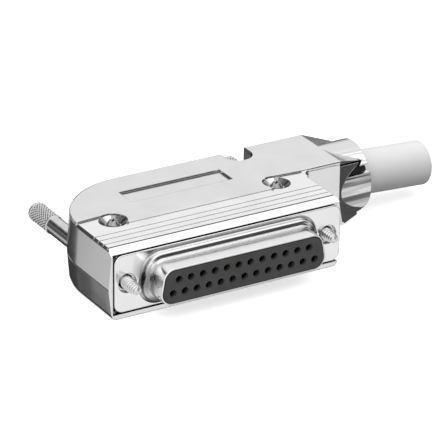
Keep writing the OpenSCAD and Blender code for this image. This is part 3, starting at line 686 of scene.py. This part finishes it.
def buildPockets():
    p = pocket
    dx, dy = (d * mm for d in hood["pocketShift"])
    for side in ("left", "right"):
        node = "hood_screw_" + side
        low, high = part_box(node)
        cx, cy = (low.x + high.x) / 2, (low.y + high.y) / 2
        mesh = nodes[node].data.copy()
        for v in mesh.vertices:
            v.co.x = cx + (v.co.x - cx) * p["screwScale"] + dx
            v.co.y = cy + (v.co.y - cy) * p["screwScale"] + dy
        mesh.materials.clear()
        # the hood screws get painted shade
        mesh.materials.append(shadedScrewNickel)
        screw = bpy.data.objects.new("hoodScrew" + side.capitalize(), mesh)
        bpy.context.collection.objects.link(screw)
        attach(screw, "housing")
        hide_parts(node)
        n = p["around"]
        section = [(p["wallTop"], p["wallTopAt"]),
                   (p["wallFoot"] + p["footEase"][0], p["wallFootAt"] + p["footEase"][1]),
                   (p["wallFoot"], p["wallFootAt"]), (p["floorHole"], p["wallFootAt"]),
                   (p["floorHole"], p["under"]), (p["wallTop"], p["under"])]
        turns = [2 * math.pi * j / n for j in range(n)]
        verts = [(cx + dx + r * mm * math.cos(t), cy + dy + r * mm * math.sin(t), z * mm)
                 for r, z in section for t in turns]
        faces = ringFaces(len(section), n, False) + closeLoop(len(section), n)
        # painted shade: the dish's wall is darker towards its left and right sides
        tones = [0] * len(faces)
        for j in range(n):
            lean = abs(math.cos(2 * math.pi * (j + 0.5) / n))
            tones[j] = 2 if lean > p["deepShadeFrom"] else 1 if lean > p["shadeFrom"] else 0
        putMesh("pocketDish" + side.capitalize(), verts, faces, [castNickel, castShade, castDeepShade],
                "housing", (), 30, tones)


buildPockets()
print("screws set in their dishes")

shell = {
    "skirtCornerX": 16.59, "skirtCornerTopX": 16.114, "cornerZ": 1.35, "cornerRadius": 2.6,
    "slope": 10,             # degrees that the skirt's ends lean
    "holeX": 23.52, "holeRadius": 2.05, "flangeCorner": 2.0,
    "skirtSteps": 14, "flangeSteps": 12, "holeSteps": 48,
}
# (offset from the outside of the skirt, Y), from inside the skirt over its lip and out to the flange
shellSection = [
    (-0.4, 0.78), (-0.4, -5.86), (-0.37, -5.97), (-0.3, -6.03), (-0.2, -6.05), (-0.1, -6.03), (-0.03, -5.97),
    (0.0, -5.86), (0.0, -2.5), (0.02, -2.2), (0.07, -1.92), (0.16, -1.66), (0.29, -1.45), (0.46, -1.29),
    (0.66, -1.19), (0.86, -1.12), (1.04, -1.03), (1.18, -0.89), (1.27, -0.72), (1.32, -0.55), (1.37, -0.38),
    (1.47, -0.22), (1.6, -0.1), (1.78, -0.03), (1.98, 0.0), (2.04, 0.0),
]
# (distance in from the flange's edge or out from a hole's edge, Y); the back of the flange follows
rimSection = [(0.2, 0.0), (0.16, 0.0), (0.05, 0.05), (0.0, 0.16)]
holeSection = [(0.14, 0.0), (0.1, 0.0), (0.0, 0.1)]


def deeRing(offset):
    s = shell
    r, steps = s["cornerRadius"] + offset, s["skirtSteps"]
    corners = [(s["skirtCornerX"], -s["cornerZ"], -90, s["slope"]),
               (s["skirtCornerTopX"], s["cornerZ"], s["slope"], 90),
               (-s["skirtCornerTopX"], s["cornerZ"], 90, 180 - s["slope"]),
               (-s["skirtCornerX"], -s["cornerZ"], 180 - s["slope"], 270)]
    ring = []
    for cx, cz, a0, a1 in corners:
        for i in range(steps + 1):
            t = math.radians(a0 + (a1 - a0) * i / steps)
            ring.append((cx + r * math.cos(t), cz + r * math.sin(t)))
    return ring


def circleRing(cx, cz, r):
    turns = [2 * math.pi * i / shell["holeSteps"] for i in range(shell["holeSteps"])]
    return [(cx + r * math.cos(t), cz + r * math.sin(t)) for t in turns]


def roundedRing(x, z, r):
    n = shell["flangeSteps"]
    ring = []
    for cx, cz, a in ((x - r, z - r, 0), (-x + r, z - r, 90), (-x + r, -z + r, 180), (x - r, -z + r, 270)):
        turns = [math.radians(a + 90 * i / n) for i in range(n + 1)]
        ring += [(cx + r * math.cos(t), cz + r * math.sin(t)) for t in turns]
    return ring


def buildShell():
    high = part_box("front_shell")[1]
    x, z, back = high.x / mm, high.z / mm, high.y / mm
    work = bmesh.new()

    def loop(ring, y):
        return [work.verts.new((p[0] * mm, y * mm, p[1] * mm)) for p in ring]

    def skin(a, b):
        n = len(a)
        for i in range(n):
            work.faces.new((a[i], a[(i + 1) % n], b[(i + 1) % n], b[i]))

    def plate(rings):
        edges = []
        for ring in rings:
            for i, v in enumerate(ring):
                w = ring[(i + 1) % len(ring)]
                edges.append(work.edges.get((v, w)) or work.edges.new((v, w)))
        bmesh.ops.triangle_fill(work, use_beauty=True, use_dissolve=False, edges=edges)

    section = [loop(deeRing(o), y) for o, y in shellSection]
    for a, b in zip(section, section[1:]):
        skin(a, b)
    drawn = (len(section) - 2) * len(section[0])      # faces of the skirt and its shoulder
    rims = [loop(roundedRing(x - d, z - d, shell["flangeCorner"] - d), y)
            for d, y in rimSection + [(0.0, back)]]
    for a, b in zip(rims, rims[1:]):
        skin(a, b)
    holes = []
    for side in (-1, 1):
        rings = [loop(circleRing(side * shell["holeX"], 0, shell["holeRadius"] + d), y)
                 for d, y in holeSection + [(0.0, back)]]
        for a, b in zip(rings, rings[1:]):
            skin(a, b)
        holes.append(rings)
    plate([section[-1], rims[0], holes[0][0], holes[1][0]])
    inner = section[0]
    for v in inner:
        v.co.y = back * mm
    plate([inner, rims[-1], holes[0][-1], holes[1][-1]])
    bmesh.ops.recalc_face_normals(work, faces=work.faces)
    verts = [tuple(v.co) for v in work.verts]
    work.verts.index_update()
    faces = [tuple(v.index for v in f.verts) for f in work.faces]
    work.free()
    # the skirt and its shoulder get the material with painted shade in the fillet
    tones = [1 if i < drawn else 0 for i in range(len(faces))]
    putMesh("frontShell", verts, faces, [drawnNickel, shoulderNickel], "housing", ["front_shell"],
            50, tones)


buildShell()
print("front shell drawn")

jackscrew = {
    "tipRadius": 0.7, "tipLength": 0.5, "leadRadius": 1.0, "leadTo": 3.0,
    "threadRadius": 1.42, "threadLength": 6.9, "threadPitch": 0.635, "threadDepth": 0.3,
    "threadSharp": 1.15,     # 1 for a groove as wide as the pitch, more for a flat crest
    "runOut": 0.9,           # the last of the thread's length, which has no thread
    "relief": 0.6,           # and the part of that which is down at the thread's core
    "shaftRadius": 2.0, "shoulder": 0.2, "grooveAt": 11.0, "grooveWidth": 0.6, "grooveRadius": 1.55,
    "knobRadius": 2.15, "knobLength": 9.0,
    "knobEdge": 0.25, "edgeEase": (0.03, 0.02),    # its front edge, out past the shaft and in from its radius
    "domeLength": 1.72, "domePower": 2.4, "domeCut": 0.97, "domeFlat": 0.12,
    "knurls": 20, "knurlTurns": 1.05, "knurlDepth": 0.2, "knurlSharp": 1.6,
    "threadStep": 0.08, "shaftStep": 3, "knurlStep": 0.1, "domeSteps": 8,
    "around": 120,
}


def jackscrewRings(length):
    p = jackscrew
    thread, shaft, groove, knob = (p[k] for k in ("threadRadius", "shaftRadius", "grooveRadius", "knobRadius"))
    threadEnd, grooveAt, grooveEnd = p["threadLength"], p["grooveAt"], p["grooveAt"] + p["grooveWidth"]
    knobAt = length - p["knobLength"]
    domeAt = length - p["domeLength"]
    fine = p["threadStep"]
    stations = []            # (distance from the tip, radius, what is cut there)

    def run(y0, y1, r0, r1, step, cut=""):
        n = max(1, round((y1 - y0) / step))
        for i in range(n + 1):
            t = i / n
            stations.append((y0 + (y1 - y0) * t, r0 + (r1 - r0) * t, cut))

    run(0, p["tipLength"], p["tipRadius"], p["leadRadius"], fine, "thread")
    run(p["tipLength"] + fine, p["leadTo"], p["leadRadius"], thread, fine, "thread")
    run(p["leadTo"] + fine, threadEnd - p["runOut"], thread, thread, fine, "thread")
    core = thread - p["threadDepth"]
    run(threadEnd - p["relief"], threadEnd, core, core, p["relief"] / 2)
    stations += [(threadEnd, shaft - p["shoulder"], ""), (threadEnd + p["shoulder"], shaft, "")]
    stations += [(grooveAt, shaft, ""), (grooveAt, groove, ""), (grooveEnd, groove, ""), (grooveEnd, shaft, "")]
    edge, gap, (lip, ease) = p["knobEdge"], p["knurlStep"], p["edgeEase"]
    run(grooveEnd + gap / 2, knobAt - edge, shaft, shaft, p["shaftStep"])
    stations += [(knobAt - gap, shaft, ""), (knobAt, shaft + lip, ""), (knobAt + edge, knob - ease, "")]
    run(knobAt + edge + gap, domeAt - gap, knob, knob, p["knurlStep"], "knurl")
    for i in range(p["domeSteps"] + 1):
        t = i / p["domeSteps"] * p["domeCut"]
        stations.append((domeAt + p["domeLength"] * t, knob * math.sqrt(1 - t ** p["domePower"]), ""))
    stations.append((length, p["domeFlat"] * knob, ""))
    return stations


def triangleWave(x):
    return abs(2 * (x - math.floor(x)) - 1)


def buildJackscrew(side):
    p = jackscrew
    low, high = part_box("jackscrew_" + side)
    cx, cz = (low.x + high.x) / 2, (low.z + high.z) / 2
    n = p["around"]
    verts = []
    stations = jackscrewRings((high.y - low.y) / mm)
    for y, r, cut in stations:
        for j in range(n):
            turn = j / n
            rr = r
            if cut == "thread":
                groove = triangleWave(y / p["threadPitch"] - turn)
                rr = r - p["threadDepth"] * max(0.0, 1 - p["threadSharp"] * groove)
            elif cut == "knurl":
                a = triangleWave(p["knurls"] * turn + y * p["knurlTurns"])
                b = triangleWave(p["knurls"] * turn - y * p["knurlTurns"])
                rr = r - p["knurlDepth"] * (1 - min(1.0, p["knurlSharp"] * min(a, b)))
            t = 2 * math.pi * turn
            verts.append((cx + rr * mm * math.cos(t), low.y + y * mm, cz + rr * mm * math.sin(t)))
    putMesh("jackscrew" + side.capitalize(), verts, ringFaces(len(stations), n), [turnedNickel],
            side + "_jackscrew", ["jackscrew_" + side], 40)


buildJackscrew("left")
buildJackscrew("right")
print("jackscrews threaded and knurled")

cable = {
    "sag": 3.4,              # degrees that the cable points down once it has left the neck
    "sagFrom": 2.4,          # outside the neck, where it has taken that slope
    "held": 2,               # inside the neck, up to where it is held straight
    "leanFrom": 2,           # outside the neck, from where a cut end leans with the slope
    "jacketWall": 1.2,
    "cutBevel": 0.18,
    "braidWall": 0.25, "braidBevel": 0.05,
    "braidShort": 0.15,      # what the visible braid ends before the shield's far end
    "cutLean": 0.9, "cutReach": 1,    # share of the slope that a cut end leans, and over what length
    "bushShort": 0.12,       # what the bush round the cable ends before the neck's mouth
    "outerSteps": 48, "innerSteps": 12, "around": 72,
}

jacketLow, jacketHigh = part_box("cable_jacket")
neckMouth = hoodHigh.x
cableY = (jacketLow.y + jacketHigh.y) / 2
cableZ = (jacketLow.z + jacketHigh.z) / 2
jacketRadius = (jacketHigh.z - jacketLow.z) / 2


def sagAt(x):
    # how far the cable's middle has dropped, x in metres
    start, full = neckMouth - cable["held"] * mm, neckMouth + cable["sagFrom"] * mm
    slope = math.tan(math.radians(cable["sag"]))
    if x <= start:
        return 0.0
    if x < full:
        return slope * (x - start) ** 2 / (2 * (full - start))
    return slope * ((full - start) / 2 + x - full)


def cableTube(name, x0, x1, outer, inner, mat, replaced, bevel):
    n, out, back = cable["around"], cable["outerSteps"], cable["innerSteps"]
    stations = [(x0, inner), (x0, outer)]
    stations += [(x0 + (x1 - bevel - x0) * i / out, outer) for i in range(1, out + 1)]
    stations += [(x1 - bevel * 0.3, outer - bevel * 0.3), (x1, outer - bevel), (x1, inner)]
    stations += [(x1 + (x0 - x1) * i / back, inner) for i in range(1, back)]
    verts = []
    slope = math.tan(math.radians(cable["sag"]))
    for x, r in stations:
        lean = slope * cable["cutLean"] if x > neckMouth + cable["leanFrom"] * mm else 0.0
        for j in range(n):
            t = 2 * math.pi * j / n
            dz = r * math.sin(t)
            px = x + dz * lean if x > x1 - cable["cutReach"] * mm else x
            verts.append((min(px, jacketHigh.x), cableY + r * math.cos(t), cableZ + dz - sagAt(x)))
    faces = ringFaces(len(stations), n, False) + closeLoop(len(stations), n)
    putMesh(name, verts, faces, [mat], "housing", replaced, 40)


cableTube("cableJacket", jacketLow.x, jacketHigh.x, jacketRadius, jacketRadius - cable["jacketWall"] * mm,
          greyJacket, ["cable_jacket"], cable["cutBevel"] * mm)

braidFinish = {
    "dark": (0.30, 0.29, 0.28), "light": (0.78, 0.76, 0.72), "rough": 0.32,
    "strands": 520, "tilt": 0.7, "distortion": 0.6, "grain": 0.6, "grainDepth": 0.00008,
}


def braidMetal():
    mat, tree, shader = startFinish("tinnedBraid", braidFinish["light"])
    shader.inputs["Metallic"].default_value = 1.0
    shader.inputs["Roughness"].default_value = braidFinish["rough"]
    place = tree.nodes.new("ShaderNodeTexCoord")
    wave = []
    for tilt in (braidFinish["tilt"], -braidFinish["tilt"]):
        turn = tree.nodes.new("ShaderNodeMapping")
        turn.inputs["Rotation"].default_value = (0, tilt, tilt)
        band = tree.nodes.new("ShaderNodeTexWave")
        band.inputs["Scale"].default_value = braidFinish["strands"]
        band.inputs["Distortion"].default_value = braidFinish["distortion"]
        tree.links.new(place.outputs["Object"], turn.inputs["Vector"])
        tree.links.new(turn.outputs[0], band.inputs["Vector"])
        wave.append(band.outputs["Fac"])
    over = mathNode(tree, "MAXIMUM", *wave)
    tree.links.new(twoTone(tree, over, braidFinish["dark"], braidFinish["light"]), shader.inputs["Base Color"])
    grainBump(tree, shader, over, braidFinish["grain"], braidFinish["grainDepth"])
    return mat


shieldLow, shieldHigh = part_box("cable_shield")
shieldRadius = (shieldHigh.z - shieldLow.z) / 2
cableTube("cableBraid", shieldLow.x, shieldHigh.x - cable["braidShort"] * mm, shieldRadius,
          shieldRadius - cable["braidWall"] * mm, braidMetal(), ["cable_shield"],
          cable["braidBevel"] * mm)

wire = {
    "radius": 0.34, "sides": 10,
    "coreRadius": 0.19, "coreOut": 0.3, "coreIn": 0.2,    # bare copper past a wire's end, and hidden in it
    "endInside": 0.3,        # from the copper's tip to the end of the CAD conductors
    "topWays": 12,           # the rest are in the lower row
    "inCup": 1.4, "outOfCup": 0.6, "riseOver": 3.4,    # along Y, before and behind the cup's end
    "pitch": 1.05,           # from wire to wire in the cable
    "firstLane": 15.39,      # where the first wire crosses the hood
    "lanePitch": 0.7,
    "laneHeight": 3.19,      # over and under the right jackscrew
    "turnAt": 24.02,         # where the wires turn in towards the cable
    "gatherAt": 28.82,
    "bend": 1.1, "bendShare": 0.45, "bendSteps": 4,
    "laneCut": 0.5,          # the corner into the lane, cut off
    "sagSteps": 8,
}
wireColours = {
    "black": (0.012, 0.012, 0.012), "brown": (0.10, 0.035, 0.012), "red": (0.45, 0.02, 0.015),
    "orange": (0.62, 0.16, 0.02), "yellow": (0.70, 0.52, 0.04), "green": (0.03, 0.25, 0.05),
    "blue": (0.03, 0.08, 0.40), "violet": (0.16, 0.05, 0.28), "grey": (0.25, 0.25, 0.26),
    "white": (0.72, 0.72, 0.70),
}
copperFinish = dict(crimpFinish, dark=(0.62, 0.28, 0.14), light=(0.82, 0.42, 0.24))


def wireSpots():
    spots = []
    for y in range(-2, 3):
        for z in range(2 if abs(y) == 2 else 3):
            spots.append((y * wire["pitch"] * mm, (z + 0.5) * wire["pitch"] * mm))
    return spots


def roundedPath(corners, reach):
    path = [corners[0]]
    share, steps = wire["bendShare"], wire["bendSteps"]
    for a, b, c in zip(corners, corners[1:], corners[2:]):
        back, on = a - b, c - b
        d = min(reach, back.length * share, on.length * share)
        start, end = b + back.normalized() * d, b + on.normalized() * d
        for i in range(steps + 1):
            t = i / steps
            path.append(start * (1 - t) ** 2 + b * 2 * t * (1 - t) + end * t ** 2)
    return path + [corners[-1]]


def sweep(path, radius, sides, first):
    verts = []
    for i, p in enumerate(path):
        ahead = path[min(i + 1, len(path) - 1)] - path[max(i - 1, 0)]
        ahead.normalize()
        across = ahead.cross(Vector((0.01, -0.02, 1))).normalized()
        over = across.cross(ahead)
        for k in range(sides):
            t = 2 * math.pi * k / sides
            verts.append(p + (across * math.cos(t) + over * math.sin(t)) * radius)
    return verts, ringFaces(len(path), sides, True, first)


def buildWires():
    p = wire
    spots = wireSpots()
    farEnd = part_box("conductors")[1].x
    palette = [mouldedPlastic(name + "Wire", dict(jacketFinish, dark=tuple(c * 0.8 for c in rgb), light=rgb))
               for name, rgb in wireColours.items()]
    palette.append(platedMetal("copperCore", copperFinish))
    verts, faces, matOf = [], [], []
    held = neckMouth - cable["held"] * mm
    for i in range(contactCount):
        low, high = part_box("contact_%02d" % (i + 1))
        x, cupZ, cupEnd = (low.x + high.x) / 2, (low.z + high.z) / 2, high.y
        top = i < p["topWays"]
        up = 1 if top else -1
        k = (p["topWays"] if top else contactCount) - 1 - i
        lane = (p["firstLane"] + k * p["lanePitch"]) * mm
        y, z = cableY + spots[k][0], cableZ + up * spots[k][1]
        height = up * p["laneHeight"] * mm
        end = farEnd - (p["coreOut"] + p["endInside"]) * mm
        cut = p["laneCut"] * mm
        corners = [(x, cupEnd - p["inCup"] * mm, cupZ), (x, cupEnd + p["outOfCup"] * mm, cupZ),
                   (x, cupEnd + p["riseOver"] * mm, height), (x, lane - cut, height), (x + cut, lane, height),
                   (p["turnAt"] * mm, lane, height), (p["gatherAt"] * mm, y, z), (held, y, z)]
        path = roundedPath([Vector(c) for c in corners], p["bend"] * mm)
        for n in range(1, p["sagSteps"] + 1):
            px = held + (end - neckMouth + cable["held"] * mm) * n / p["sagSteps"]
            path.append(Vector((px, y, z - sagAt(px))))
        tip = end + p["coreOut"] * mm
        core = [path[-1].copy(), Vector((tip, y, z - sagAt(tip)))]
        core[0].x -= p["coreIn"] * mm
        colour = i % len(wireColours)
        for line, r, paint in ((path, p["radius"], colour), (core, p["coreRadius"], len(wireColours))):
            more, rings = sweep(line, r * mm, p["sides"], len(verts))
            verts += more
            faces += rings
            matOf += [paint] * len(rings)
    putMesh("cableWires", [tuple(v) for v in verts], faces, palette, "housing", ["conductors"],
            40, matOf)


buildWires()


def buildBush():
    low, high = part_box("cable_bushing")
    mesh = nodes["cable_bushing"].data.copy()
    stretch = (neckMouth - cable["bushShort"] * mm - low.x) / (high.x - low.x)
    for v in mesh.vertices:
        v.co.x = low.x + (v.co.x - low.x) * stretch
    mesh.materials.clear()
    mesh.materials.append(blackRubber)
    bush = bpy.data.objects.new("cableBush", mesh)
    bpy.context.collection.objects.link(bush)
    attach(bush, "housing")
    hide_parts("cable_bushing")


buildBush()
print("cable built")
